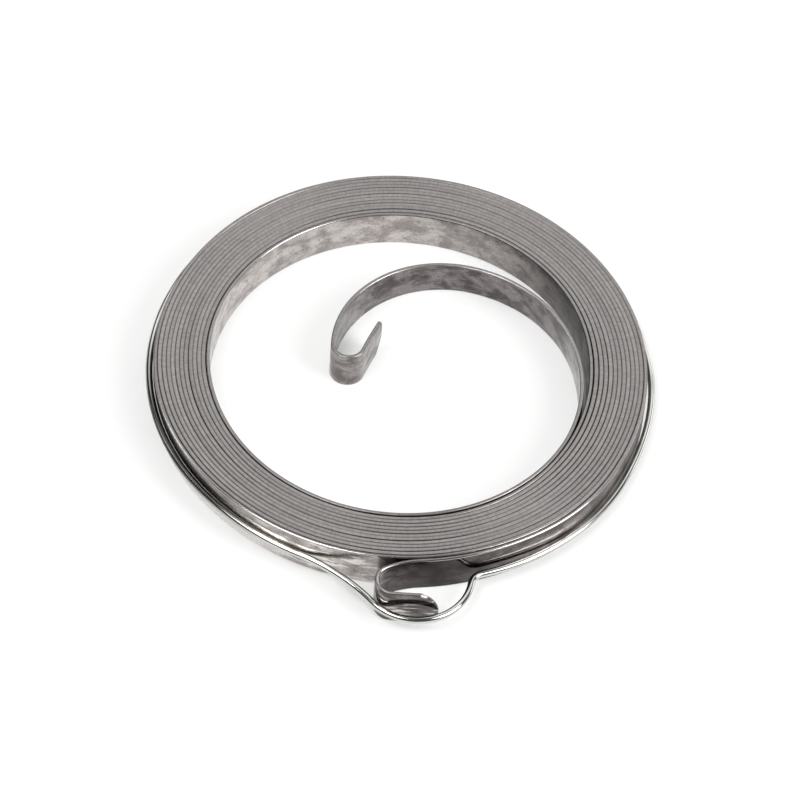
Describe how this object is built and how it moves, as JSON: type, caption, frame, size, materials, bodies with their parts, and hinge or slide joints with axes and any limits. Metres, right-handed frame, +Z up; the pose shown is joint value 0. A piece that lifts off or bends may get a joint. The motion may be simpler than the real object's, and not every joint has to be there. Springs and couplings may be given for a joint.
{
  "type": "recoil starter spring",
  "caption": "Flat spiral recoil starter spring of grey steel strip wound on edge, with a hook at each end, held wound by a round wire ring that bows out round the outer hook.",
  "frame": {"origin": "middle of the outline in plan, at the height of the strip's lower edges", "axes": "+Z up out of the flat coil, -Y toward the outer hook and the wire's front loop, +X to the right as seen from there"},
  "size_m": [0.0722, 0.0788, 0.0062],
  "materials": {
    "strip_steel": "cold rolled, with storage stains",
    "wire_steel": "bright drawn"
  },
  "bodies": {
    "root": {"spring_strip": "strip_steel", "retaining_wire": "wire_steel"}
  },
  "joints": []
}
